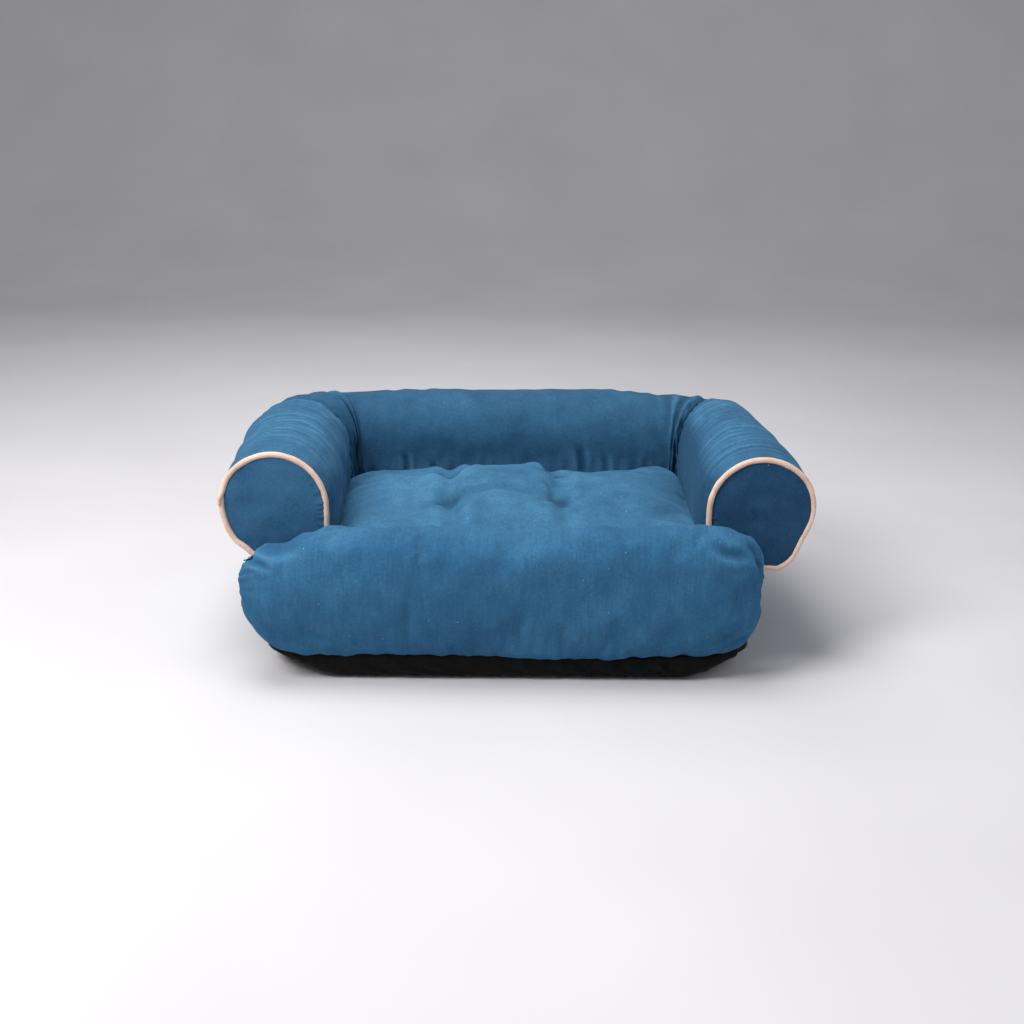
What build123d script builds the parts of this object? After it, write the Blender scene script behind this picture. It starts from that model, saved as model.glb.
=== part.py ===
"""A sofa-shaped pet bed: a padded base, three walls under rolled bolsters, a front bolster,
a lift-out tufted cushion and two zips. Millimetres; +X is the sitter's left-to-right axis seen
from the front, +Y points to the back, +Z up. The origin is the middle of the footprint, on the floor.
"""

import os
from math import acos, atan2, cos, hypot, radians, sin

from build123d import *

# Overall size
WIDTH = 600.0  # across the two arm rolls
DEPTH = 460.0  # front bolster's face to the back of the back roll
HEIGHT = 226.0  # floor to the crest of the rolls

# Rolls and the walls under them
ROLL_R = 56.0
WALL_THICK = 74.0
ROLL_BOTTOM_Z = 102.0
ROLL_CORNER_R = 5.0
CORNER_BEND_R = 70.0  # plan radius of the rolls' centre line round the back corners
WALL_CORNER_R = 5.0
WALL_TUCK_R = 28.0  # the wall's outer lower edge, where its cover is drawn in to the base

# Soft layers
FABRIC = 1.5
FILL_INSET = 3.5  # outer face of a cover to its filling
SEAM_GAP = 0.2  # between pieces that are sewn to each other

# Base
BASE_HEIGHT = 28.0
BASE_EDGE_R = 20.0
BASE_FRONT_CORNER_R = 65.0
BASE_SIDE_INSET = 22.0
BASE_FRONT_Y = -214.0
BAND_FABRIC = 1.2

# Front bolster
BOLSTER_THICK = 66.0
BOLSTER_BOTTOM_Z = BASE_HEIGHT + SEAM_GAP
BOLSTER_TOP_Z = 159.0
BOLSTER_OUTLINE_R = 48.0
BOLSTER_EDGE_R = 30.0

# Arm ends
PIPING_R = 3.8
PIPING_CORD_R = 2.3
PIPING_FLANGE = 10.0
PIPING_FLANGE_THICK = 1.0
PIPING_CORNER_R = 9.0

# Lift-out cushion
CUSHION_TOP_Z = 149.0
CUSHION_SIDE_GAP = 3.0
CUSHION_REAR_GAP = 12.0  # leaves room for the zip's pull behind the cushion
CUSHION_CORNER_R = 45.0
CUSHION_EDGE_R = 36.0
TUFT_SPACING_X = 124.0
TUFT_SPACING_Y = 100.0
TIE_R = 1.2

# Thread tacks that hold the front bolster's ends to the walls
TACK_R = 1.2
TACK_LENGTH = 5.0
TACK_INSET = 12.0  # in from the bolster's end, where its rear edge curves away from the wall
TACK_Z = 96.0

# Zips, both on a face that looks backwards
ZIP_PITCH = 2.4
ZIP_TOOTH = 1.3
ZIP_TOOTH_HEIGHT = 1.8
ZIP_HALF_GAP = 0.75
ZIP_ROW = 2.6  # from the middle line to the outer side of a tooth row
TAPE_WIDTH = 11.0
TAPE_THICK = 0.6
SLIT_HALF = 5.5
SLIDER_LENGTH = 11.0
SLIDER_WIDTH = 8.6
SLIDER_PLATE = 0.9
BRIDGE_RISE = 1.9  # room under the slider's arch for the pull's pin
BRIDGE_HALF = 3.1
BRIDGE_WALL = 0.9
PIN_R = 0.6
PULL_LENGTH = 20.0
PULL_THICK = 1.0
CUSHION_ZIP_TEETH = 104
FRAME_ZIP_TEETH = 124
FRAME_ZIP_Z = 74.0

# Worked out from the above
ROLL_X = WIDTH / 2 - ROLL_R
ROLL_Y = DEPTH / 2 - ROLL_R
ROLL_Z = HEIGHT - ROLL_R
WALL_OUTER = WALL_THICK - ROLL_R  # outer wall face, measured outwards from the roll's middle
BASE_BACK_CORNER_R = CORNER_BEND_R + WALL_OUTER - BASE_SIDE_INSET
BEND_X = ROLL_X - CORNER_BEND_R
BEND_Y = ROLL_Y - CORNER_BEND_R
WELL_HALF_X = ROLL_X - ROLL_R
WELL_BACK_Y = ROLL_Y - ROLL_R
BOLSTER_BACK_Y = -DEPTH / 2 + BOLSTER_THICK
CAP_Y = BOLSTER_BACK_Y + 2 * PIPING_R + 0.4
BOLSTER_HALF_X = ROLL_X + WALL_OUTER
CUSHION_BOTTOM_Z = BASE_HEIGHT + 0.5
CUSHION_FRONT_Y = BOLSTER_BACK_Y + 3.0
CUSHION_BACK_Y = WELL_BACK_Y - CUSHION_REAR_GAP
CUSHION_SEAM_Z = (CUSHION_BOTTOM_Z + CUSHION_TOP_Z) / 2
FRAME_ZIP_Y = ROLL_Y + WALL_OUTER

os.makedirs("parts", exist_ok=True)


def save(builder, name):
    """Labels a finished piece and writes its STEP file."""
    builder.part.label = name
    export_step(builder.part, f"parts/{name}.step")


# ---------------------------------------------------------------- rolls and walls


def roll_outline(inset, corner_r=ROLL_CORNER_R):
    """Draws a roll's section: u points outwards from its middle, v is the height.

    The inner side is straight, the top is round, and the outer side runs down a tangent
    to the corner where the roll meets the wall.
    """
    corner = Vector(WALL_OUTER, ROLL_BOTTOM_Z)
    away = hypot(corner.X, corner.Y - ROLL_Z)
    turn = atan2(corner.Y - ROLL_Z, corner.X) + acos(ROLL_R / away)
    touch = (ROLL_R * cos(turn), ROLL_Z + ROLL_R * sin(turn))
    crown = (ROLL_R * cos(radians(80)), ROLL_Z + ROLL_R * sin(radians(80)))
    with BuildLine(mode=Mode.PRIVATE) as outline:
        inner = Line((-ROLL_R, ROLL_BOTTOM_Z), (-ROLL_R, ROLL_Z))
        top = ThreePointArc(inner @ 1, crown, touch)
        outer = Line(top @ 1, (corner.X, corner.Y))
        Line(outer @ 1, inner @ 0)
    with BuildSketch(mode=Mode.PRIVATE) as section:
        make_face(outline.edges())
        fillet(section.vertices().group_by(Axis.Y)[0], corner_r)
        if inset:
            offset(amount=-inset, mode=Mode.REPLACE)
    return section.sketch


def wall_outline(inset):
    """Draws a wall's section in the same axes as the roll's."""
    bottom, top = BASE_HEIGHT + SEAM_GAP, ROLL_BOTTOM_Z - SEAM_GAP
    with BuildSketch(mode=Mode.PRIVATE) as section:
        with Locations(((WALL_OUTER - ROLL_R) / 2, (bottom + top) / 2)):
            Rectangle(WALL_THICK, top - bottom)
        tucked = section.vertices().sort_by(Axis.Y)[:2].sort_by(Axis.X)[-1]
        fillet(tucked, WALL_TUCK_R)
        square = [v for v in section.vertices() if abs(v.X + ROLL_R) < 0.1 or v.Y > top - 0.1]
        fillet(square, WALL_CORNER_R)
        if inset:
            offset(amount=-inset, mode=Mode.REPLACE)
    return section.sketch


def arm_run(outline, inset, front_y, mode=Mode.ADD):
    """The right arm's straight run and its half of the corner bend, added to the open part."""
    at_bend = Plane(origin=(ROLL_X, BEND_Y, 0), x_dir=(1, 0, 0), z_dir=(0, -1, 0))
    with BuildSketch(at_bend, mode=Mode.PRIVATE) as section:
        add(outline(inset))
    extrude(section.sketch, amount=BEND_Y - front_y, mode=mode)
    revolve(section.sketch, axis=Axis((BEND_X, BEND_Y, 0), (0, 0, 1)), revolution_arc=45, mode=mode)


def back_run(outline, inset, mode=Mode.ADD):
    """The back's straight run with its half of each corner bend, added to the open part."""
    for side in (1, -1):
        at_bend = Plane(origin=(side * BEND_X, ROLL_Y, 0), x_dir=(0, 1, 0), z_dir=(1, 0, 0))
        with BuildSketch(at_bend, mode=Mode.PRIVATE) as section:
            add(outline(inset))
        if side == 1:
            extrude(section.sketch, amount=-2 * BEND_X, mode=mode)
        bend = Axis((side * BEND_X, BEND_Y, 0), (0, 0, -side))
        revolve(section.sketch, axis=bend, revolution_arc=45, mode=mode)


def both_sides(builder, name):
    """Writes a right-hand piece, and its mirror image as the left-hand one."""
    save(builder, f"right_{name}")
    with BuildPart() as other:
        mirror(builder.part, about=Plane.YZ)
    save(other, f"left_{name}")


with BuildPart() as arm_cover:
    arm_run(roll_outline, 0, CAP_Y)
    arm_run(roll_outline, FABRIC, CAP_Y, mode=Mode.SUBTRACT)
both_sides(arm_cover, "arm_cover")

with BuildPart() as arm_filling:
    arm_run(roll_outline, FILL_INSET, CAP_Y + PIPING_FLANGE_THICK + SEAM_GAP)
both_sides(arm_filling, "arm_filling")

with BuildPart() as arm_wall_cover:
    arm_run(wall_outline, 0, BOLSTER_BACK_Y + SEAM_GAP)
    arm_run(wall_outline, FABRIC, BOLSTER_BACK_Y + SEAM_GAP + FABRIC, mode=Mode.SUBTRACT)
both_sides(arm_wall_cover, "wall_cover")

with BuildPart() as arm_wall_foam:
    arm_run(wall_outline, FILL_INSET, BOLSTER_BACK_Y + FILL_INSET)
both_sides(arm_wall_foam, "wall_foam")

with BuildPart() as back_bolster_cover:
    back_run(roll_outline, 0)
    back_run(roll_outline, FABRIC, mode=Mode.SUBTRACT)
save(back_bolster_cover, "back_bolster_cover")

with BuildPart() as back_bolster_filling:
    back_run(roll_outline, FILL_INSET)
save(back_bolster_filling, "back_bolster_filling")

with BuildPart() as back_wall_cover:
    back_run(wall_outline, 0)
    back_run(wall_outline, FABRIC, mode=Mode.SUBTRACT)
    with Locations((0, FRAME_ZIP_Y, FRAME_ZIP_Z)):
        Box(FRAME_ZIP_TEETH * ZIP_PITCH, 3 * FABRIC, 2 * SLIT_HALF, mode=Mode.SUBTRACT)
save(back_wall_cover, "back_wall_cover")

with BuildPart() as back_wall_foam:
    back_run(wall_outline, FILL_INSET)
save(back_wall_foam, "back_wall_foam")


# ---------------------------------------------------------------- arm ends


def arm_end_plane(y):
    """The plane across the right arm at that depth, looking forwards, with v as the height."""
    return Plane(origin=(ROLL_X, y, 0), x_dir=(1, 0, 0), z_dir=(0, -1, 0))


PIPING_Y = CAP_Y - PIPING_R + 0.3
PIPING_LINE = roll_outline(PIPING_R, PIPING_R + PIPING_CORNER_R)


def piping_tube(radius, mode=Mode.ADD):
    """A round tube that follows the arm's end all the way round, added to the open part."""
    with BuildSketch(arm_end_plane(PIPING_Y), mode=Mode.PRIVATE) as loop:
        add(PIPING_LINE)
    route = loop.sketch.faces()[0].outer_wire()
    with BuildSketch(Plane(origin=route @ 0, z_dir=route % 0), mode=Mode.PRIVATE) as ring:
        Circle(radius)
    sweep(ring.sketch, path=route, mode=mode)


with BuildPart() as arm_end_cap:
    with BuildSketch(arm_end_plane(CAP_Y - SEAM_GAP)):
        add(roll_outline(2 * PIPING_R + SEAM_GAP, PIPING_R + PIPING_CORNER_R))
    extrude(amount=FABRIC)
both_sides(arm_end_cap, "arm_end_cap")

with BuildPart() as arm_piping:
    piping_tube(PIPING_R)
    with BuildSketch(arm_end_plane(CAP_Y), mode=Mode.PRIVATE) as flange:
        add(PIPING_LINE)
        add(roll_outline(PIPING_R + PIPING_FLANGE, PIPING_R + PIPING_CORNER_R), mode=Mode.SUBTRACT)
    extrude(flange.sketch, amount=-PIPING_FLANGE_THICK)
    piping_tube(PIPING_CORD_R + 0.1, mode=Mode.SUBTRACT)
both_sides(arm_piping, "arm_piping")

with BuildPart() as piping_cord:
    piping_tube(PIPING_CORD_R)
both_sides(piping_cord, "piping_cord")


# ---------------------------------------------------------------- base


def base_block(inset, bottom_z, top_z, edge_r):
    """The base's padded block: a footprint that follows the walls, with a rounded lower edge."""
    half_x = ROLL_X + WALL_OUTER - BASE_SIDE_INSET - inset
    front, back = BASE_FRONT_Y + inset, ROLL_Y + WALL_OUTER - BASE_SIDE_INSET - inset
    with BuildSketch(Plane.XY.offset(bottom_z), mode=Mode.PRIVATE) as footprint:
        with Locations((0, (front + back) / 2)):
            Rectangle(2 * half_x, back - front)
        fillet(footprint.vertices().group_by(Axis.Y)[0], BASE_FRONT_CORNER_R - inset)
        fillet(footprint.vertices().group_by(Axis.Y)[-1], BASE_BACK_CORNER_R - inset)
    with BuildPart(mode=Mode.PRIVATE) as block:
        extrude(footprint.sketch, amount=top_z - bottom_z)
        if edge_r:
            fillet(block.faces().sort_by(Axis.Z)[0].edges(), edge_r)
    return block.part


with BuildPart() as base_bottom_panel:
    add(base_block(BASE_EDGE_R, 0, BAND_FABRIC, 0))
save(base_bottom_panel, "base_bottom_panel")

with BuildPart() as base_band:
    add(base_block(0, 0, BASE_HEIGHT, BASE_EDGE_R))
    add(
        base_block(BAND_FABRIC, BAND_FABRIC, BASE_HEIGHT, BASE_EDGE_R - BAND_FABRIC),
        mode=Mode.SUBTRACT,
    )
    add(base_block(BASE_EDGE_R, 0, BAND_FABRIC, 0), mode=Mode.SUBTRACT)
save(base_band, "base_band")

DECK_BOTTOM_Z = BASE_HEIGHT - BAND_FABRIC
with BuildPart() as base_wadding:
    add(
        base_block(
            BAND_FABRIC + SEAM_GAP,
            BAND_FABRIC + SEAM_GAP,
            DECK_BOTTOM_Z - SEAM_GAP,
            BASE_EDGE_R - BAND_FABRIC - SEAM_GAP,
        )
    )
save(base_wadding, "base_wadding")

with BuildPart() as deck_panel:
    add(base_block(BAND_FABRIC + SEAM_GAP, DECK_BOTTOM_Z, BASE_HEIGHT, 0))
save(deck_panel, "deck_panel")


# ---------------------------------------------------------------- front bolster


def bolster_block(inset):
    """The front bolster: a long pillow with a rounded outline and rounded faces."""
    height = BOLSTER_TOP_Z - BOLSTER_BOTTOM_Z
    middle = (BOLSTER_TOP_Z + BOLSTER_BOTTOM_Z) / 2
    face = Plane(origin=(0, BOLSTER_BACK_Y - inset, middle), x_dir=(1, 0, 0), z_dir=(0, -1, 0))
    with BuildSketch(face, mode=Mode.PRIVATE) as outline:
        RectangleRounded(2 * (BOLSTER_HALF_X - inset), height - 2 * inset, BOLSTER_OUTLINE_R - inset)
    with BuildPart(mode=Mode.PRIVATE) as block:
        extrude(outline.sketch, amount=BOLSTER_THICK - 2 * inset)
        ends = block.faces().sort_by(Axis.Y)
        fillet(ends[0].edges() + ends[-1].edges(), BOLSTER_EDGE_R - inset)
    return block.part


with BuildPart() as front_bolster_cover:
    add(bolster_block(0))
    add(bolster_block(FABRIC), mode=Mode.SUBTRACT)
save(front_bolster_cover, "front_bolster_cover")

with BuildPart() as front_bolster_filling:
    add(bolster_block(FILL_INSET))
save(front_bolster_filling, "front_bolster_filling")


# ---------------------------------------------------------------- lift-out cushion


def cushion_block(inset):
    """The cushion's crowned block: a rounded footprint with deep rounded edges."""
    half_x = WELL_HALF_X - CUSHION_SIDE_GAP - inset
    front, back = CUSHION_FRONT_Y + inset, CUSHION_BACK_Y - inset
    with BuildSketch(Plane.XY.offset(CUSHION_BOTTOM_Z + inset), mode=Mode.PRIVATE) as footprint:
        with Locations((0, (front + back) / 2)):
            RectangleRounded(2 * half_x, back - front, CUSHION_CORNER_R - inset)
    with BuildPart(mode=Mode.PRIVATE) as block:
        extrude(footprint.sketch, amount=CUSHION_TOP_Z - CUSHION_BOTTOM_Z - 2 * inset)
        ends = block.faces().sort_by(Axis.Z)
        fillet(ends[0].edges() + ends[-1].edges(), CUSHION_EDGE_R - inset)
    return block.part


def cushion_half_cover(keep):
    """One panel of the cushion's cover, with its half of the slit behind the zip."""
    add(cushion_block(0))
    add(cushion_block(FABRIC), mode=Mode.SUBTRACT)
    split(bisect_by=Plane.XY.offset(CUSHION_SEAM_Z), keep=keep)
    with Locations((0, CUSHION_BACK_Y, CUSHION_SEAM_Z)):
        Box(CUSHION_ZIP_TEETH * ZIP_PITCH, 3 * FABRIC, 2 * SLIT_HALF, mode=Mode.SUBTRACT)


with BuildPart() as cushion_top_panel:
    cushion_half_cover(Keep.TOP)
save(cushion_top_panel, "cushion_top_panel")

with BuildPart() as cushion_bottom_panel:
    cushion_half_cover(Keep.BOTTOM)
save(cushion_bottom_panel, "cushion_bottom_panel")

CUSHION_MIDDLE_Y = (CUSHION_FRONT_Y + CUSHION_BACK_Y) / 2
with BuildPart() as cushion_filling:
    add(cushion_block(FILL_INSET))
    with Locations((0, CUSHION_MIDDLE_Y, CUSHION_TOP_Z)):
        with GridLocations(TUFT_SPACING_X, TUFT_SPACING_Y, 2, 2):
            Hole(TIE_R + 0.2, 2 * HEIGHT)
save(cushion_filling, "cushion_filling")

with BuildPart() as tuft_ties:
    with BuildSketch(Plane.XY.offset(CUSHION_BOTTOM_Z + FABRIC)):
        with Locations((0, CUSHION_MIDDLE_Y)):
            with GridLocations(TUFT_SPACING_X, TUFT_SPACING_Y, 2, 2):
                Circle(TIE_R)
    extrude(amount=CUSHION_TOP_Z - CUSHION_BOTTOM_Z - 2 * FABRIC)
save(tuft_ties, "tuft_ties")


# ---------------------------------------------------------------- tacks at the front corners

with BuildPart() as corner_tacks:
    with BuildSketch(Plane(origin=(0, BOLSTER_BACK_Y, TACK_Z), x_dir=(1, 0, 0), z_dir=(0, -1, 0))):
        with GridLocations(2 * (BOLSTER_HALF_X - TACK_INSET), 1, 2, 1):
            Circle(TACK_R)
    extrude(amount=TACK_LENGTH)
save(corner_tacks, "corner_tacks")


# ---------------------------------------------------------------- zips


def facing_back(y, z):
    """The plane of a zip: u runs along the zip, v is up, and the normal points to the back."""
    return Plane(origin=(0, y, z), x_dir=(-1, 0, 0), z_dir=(0, 1, 0))


def zip_set(name, y, z, teeth):
    """Writes one zip's tapes, tooth rows, end stops, slider and pull. y is the face it lies on."""
    length = teeth * ZIP_PITCH
    tape_mid = ZIP_HALF_GAP + TAPE_WIDTH / 2
    teeth_y = y + TAPE_THICK + 0.1
    for half, side in (("upper", 1), ("lower", -1)):
        with BuildPart() as tape:
            with BuildSketch(facing_back(y, z)):
                with Locations((0, side * tape_mid)):
                    Rectangle(length + 16, TAPE_WIDTH)
            extrude(amount=TAPE_THICK)
        save(tape, f"{name}_tape_{half}")
        with BuildPart() as row:
            with BuildSketch(facing_back(teeth_y, z)):
                with Locations((0, side * (ZIP_ROW - 0.4))):
                    Rectangle(length, 0.8)
                with Locations((0, side * (ZIP_HALF_GAP + ZIP_ROW - 0.6) / 2)):
                    with GridLocations(ZIP_PITCH, 1, teeth, 1):
                        Rectangle(ZIP_TOOTH, ZIP_ROW - ZIP_HALF_GAP - 0.6)
            extrude(amount=ZIP_TOOTH_HEIGHT)
        save(row, f"{name}_teeth_{half}")
    with BuildPart() as stops:
        with BuildSketch(facing_back(teeth_y, z)):
            with GridLocations(length + 3.2, 2 * (ZIP_HALF_GAP + 1.2), 2, 2):
                RectangleRounded(2.4, 2.0, 0.6)
        extrude(amount=ZIP_TOOTH_HEIGHT)
    save(stops, f"{name}_stops")
    slider_and_pull(name, y, z, length)


def slider_and_pull(name, y, z, length):
    """The slider waits at the zip's right-hand end, with its pull lying along the closed zip."""
    at_x = length / 2 - SLIDER_LENGTH / 2 - 1
    rear = y - SLIDER_PLATE - 0.4
    front = y + TAPE_THICK + ZIP_TOOTH_HEIGHT + 0.4
    top = front + SLIDER_PLATE

    def at(depth):
        return Plane(origin=(at_x, depth, z), x_dir=(1, 0, 0), z_dir=(0, -1, 0))

    with BuildPart() as slider:
        for depth in (rear + SLIDER_PLATE, top):
            with BuildSketch(at(depth)):
                RectangleRounded(SLIDER_LENGTH, SLIDER_WIDTH, 2.0)
            extrude(amount=SLIDER_PLATE)
        with BuildSketch(at(front + 0.1)):  # the wedge that joins the plates between the rows
            Rectangle(3.0, 2 * ZIP_HALF_GAP - 0.4)
        extrude(amount=front - rear - SLIDER_PLATE + 0.2)
        with BuildSketch(at(front + 0.1)):  # flanges that hold the rows in
            with GridLocations(1, 2 * (SLIDER_WIDTH / 2 - 0.4), 1, 2):
                Rectangle(SLIDER_LENGTH - 4.0, 0.8)
        extrude(amount=ZIP_TOOTH_HEIGHT - 0.2)
        along = Plane(origin=(at_x, top, z), x_dir=(1, 0, 0), z_dir=(0, 0, 1))
        with BuildSketch(along):
            with Locations((0, (BRIDGE_RISE + BRIDGE_WALL) / 2 - 0.05)):
                Rectangle(2 * BRIDGE_HALF, BRIDGE_RISE + BRIDGE_WALL + 0.1)
            with Locations((0, BRIDGE_RISE / 2)):
                Rectangle(2 * (BRIDGE_HALF - BRIDGE_WALL), BRIDGE_RISE, mode=Mode.SUBTRACT)
        extrude(amount=BRIDGE_WALL, both=True)
    save(slider, f"{name}_slider")

    pin_y = top + BRIDGE_RISE - PIN_R - 0.2
    with BuildPart() as pull:
        tab = Plane(origin=(at_x, pin_y, z), x_dir=(-1, 0, 0), z_dir=(0, 1, 0))
        with BuildSketch(tab):
            with Locations((PULL_LENGTH / 2 - 0.7, 0)):
                RectangleRounded(PULL_LENGTH, 6.4, 1.8)
            with Locations((2.0, 0)):
                Rectangle(5.4, 2.6, mode=Mode.SUBTRACT)
            with Locations((PULL_LENGTH - 6.5, 0)):
                SlotOverall(7.0, 2.6, mode=Mode.SUBTRACT)
        extrude(amount=PULL_THICK / 2, both=True)
        with BuildSketch(Plane(origin=(at_x, pin_y, z), z_dir=(0, 0, 1))):
            Circle(PIN_R)
        extrude(amount=1.6, both=True)
    save(pull, f"{name}_pull")


zip_set("cushion_zip", CUSHION_BACK_Y, CUSHION_SEAM_Z, CUSHION_ZIP_TEETH)
zip_set("frame_zip", FRAME_ZIP_Y, FRAME_ZIP_Z, FRAME_ZIP_TEETH)
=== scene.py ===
"""The look of the sofa-shaped pet bed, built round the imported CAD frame. Metres throughout."""

import math

import bmesh
import bpy
import numpy as np
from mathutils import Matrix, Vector


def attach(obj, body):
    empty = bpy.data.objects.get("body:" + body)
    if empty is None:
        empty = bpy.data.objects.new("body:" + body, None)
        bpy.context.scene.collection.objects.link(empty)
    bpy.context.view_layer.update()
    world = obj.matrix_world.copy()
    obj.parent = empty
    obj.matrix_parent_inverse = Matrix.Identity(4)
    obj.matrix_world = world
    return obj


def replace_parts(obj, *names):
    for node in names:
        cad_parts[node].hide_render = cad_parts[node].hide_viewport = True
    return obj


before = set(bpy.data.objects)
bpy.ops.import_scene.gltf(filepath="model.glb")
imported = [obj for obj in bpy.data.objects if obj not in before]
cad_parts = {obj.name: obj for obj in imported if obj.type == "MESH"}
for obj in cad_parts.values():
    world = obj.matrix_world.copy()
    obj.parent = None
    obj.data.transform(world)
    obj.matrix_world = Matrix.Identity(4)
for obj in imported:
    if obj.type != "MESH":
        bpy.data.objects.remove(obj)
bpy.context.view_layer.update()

# -------- camera, floor, light

CAMERA_AT = (-0.004, -1.385, 0.537)
camera_data = bpy.data.cameras.new("camera")
camera_data.lens = 44.65
camera_data.sensor_width = 36.0
camera = bpy.data.objects.new("camera", camera_data)
camera.location = CAMERA_AT
camera.rotation_euler = (math.radians(90 - 17), math.radians(-0.45), 0)
bpy.context.collection.objects.link(camera)
bpy.context.scene.camera = camera


def area_light(name, at, size, power, colour):
    """A soft round lamp that faces the bed."""
    data = bpy.data.lights.new(name, "AREA")
    data.shape = "DISK"
    data.size = size
    data.energy = power
    data.color = colour
    lamp = bpy.data.objects.new(name, data)
    lamp.location = at
    lamp.rotation_euler = (Vector((0, 0, 0.1)) - Vector(at)).to_track_quat("-Z", "Y").to_euler()
    bpy.context.collection.objects.link(lamp)


area_light("key", (-1.05, -1.00, 1.45), 0.8, 27, (1.0, 0.98, 0.95))
area_light("top", (-0.35, -0.10, 1.70), 1.1, 17, (1.0, 0.99, 0.97))
area_light("fill", (1.6, -0.9, 1.5), 1.3, 5.5, (0.95, 0.97, 1.0))
area_light("back", (-0.3, 1.5, 1.7), 1.2, 9, (0.97, 0.98, 1.0))
world = bpy.data.worlds.new("studio")
world.use_nodes = True
world.node_tree.nodes["Background"].inputs["Color"].default_value = (0.80, 0.82, 0.86, 1)
world.node_tree.nodes["Background"].inputs["Strength"].default_value = 0.42
bpy.context.scene.world = world
bpy.context.scene.view_settings.view_transform = "Standard"

# -------- materials


def linear(r, g, b):
    """An sRGB colour, 0 to 255, as the linear one that the shader takes."""
    parts = []
    for value in (r / 255, g / 255, b / 255):
        parts.append(value / 12.92 if value <= 0.04045 else ((value + 0.055) / 1.055) ** 2.4)
    return (*parts, 1.0)


class Shader:
    """A small helper that builds one node material."""

    def __init__(self, name):
        self.material = bpy.data.materials.new(name)
        self.material.use_nodes = True
        self.tree = self.material.node_tree
        self.main = self.tree.nodes["Principled BSDF"]
        self.place = self.tree.nodes.new("ShaderNodeTexCoord").outputs["Object"]

    def link(self, source, target):
        self.tree.links.new(source, target)

    def stretched(self, scale, turn=(0, 0, 0)):
        node = self.tree.nodes.new("ShaderNodeMapping")
        node.inputs["Scale"].default_value = scale
        node.inputs["Rotation"].default_value = turn
        self.link(self.place, node.inputs["Vector"])
        return node.outputs["Vector"]

    def noise(self, scale, detail=2.0, rough=0.5, vector=None, twist=0.0):
        node = self.tree.nodes.new("ShaderNodeTexNoise")
        node.inputs["Scale"].default_value = scale
        node.inputs["Detail"].default_value = detail
        node.inputs["Roughness"].default_value = rough
        node.inputs["Distortion"].default_value = twist
        self.link(vector or self.place, node.inputs["Vector"])
        return node.outputs["Fac"]

    def wave(self, scale, direction, vector=None, distortion=0.0):
        node = self.tree.nodes.new("ShaderNodeTexWave")
        node.bands_direction = direction
        node.inputs["Scale"].default_value = scale
        node.inputs["Distortion"].default_value = distortion
        self.link(vector or self.place, node.inputs["Vector"])
        return node.outputs["Fac"]

    def math(self, operation, a, b, c=None):
        node = self.tree.nodes.new("ShaderNodeMath")
        node.operation = operation
        for index, value in enumerate((a, b, c)):
            if value is None:
                continue
            if isinstance(value, (int, float)):
                node.inputs[index].default_value = value
            else:
                self.link(value, node.inputs[index])
        return node.outputs[0]

    def ramp(self, fac, stops):
        node = self.tree.nodes.new("ShaderNodeValToRGB")
        ramp = node.color_ramp
        while len(ramp.elements) < len(stops):
            ramp.elements.new(0.5)
        for element, (position, colour) in zip(ramp.elements, stops):
            element.position = position
            element.color = colour
        self.link(fac, node.inputs["Fac"])
        return node.outputs["Color"]

    def lint(self, colour):
        """A few tiny pale specks of lint on a colour."""
        cells = self.tree.nodes.new("ShaderNodeTexVoronoi")
        cells.inputs["Scale"].default_value = 60
        self.link(self.place, cells.inputs["Vector"])
        speck = self.math("LESS_THAN", cells.outputs["Distance"], 0.026)
        mix = self.tree.nodes.new("ShaderNodeMix")
        mix.data_type = "RGBA"
        self.link(self.math("MULTIPLY", speck, 0.7), mix.inputs[0])
        self.link(colour, mix.inputs[6])
        mix.inputs[7].default_value = linear(196, 206, 208)
        return mix.outputs[2]

    def bump(self, height, distance, strength=1.0, under=None):
        node = self.tree.nodes.new("ShaderNodeBump")
        node.inputs["Distance"].default_value = distance
        node.inputs["Strength"].default_value = strength
        self.link(height, node.inputs["Height"])
        if under is not None:
            self.link(under, node.inputs["Normal"])
        return node.outputs["Normal"]

    def finish(self, colour=None, rough=0.8, normal=None, **sockets):
        if colour is not None:
            self.link(colour, self.main.inputs["Base Color"])
        self.main.inputs["Roughness"].default_value = rough
        if normal is not None:
            self.link(normal, self.main.inputs["Normal"])
        for name, value in sockets.items():
            self.main.inputs[name.replace("_", " ")].default_value = value
        return self.material


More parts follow.
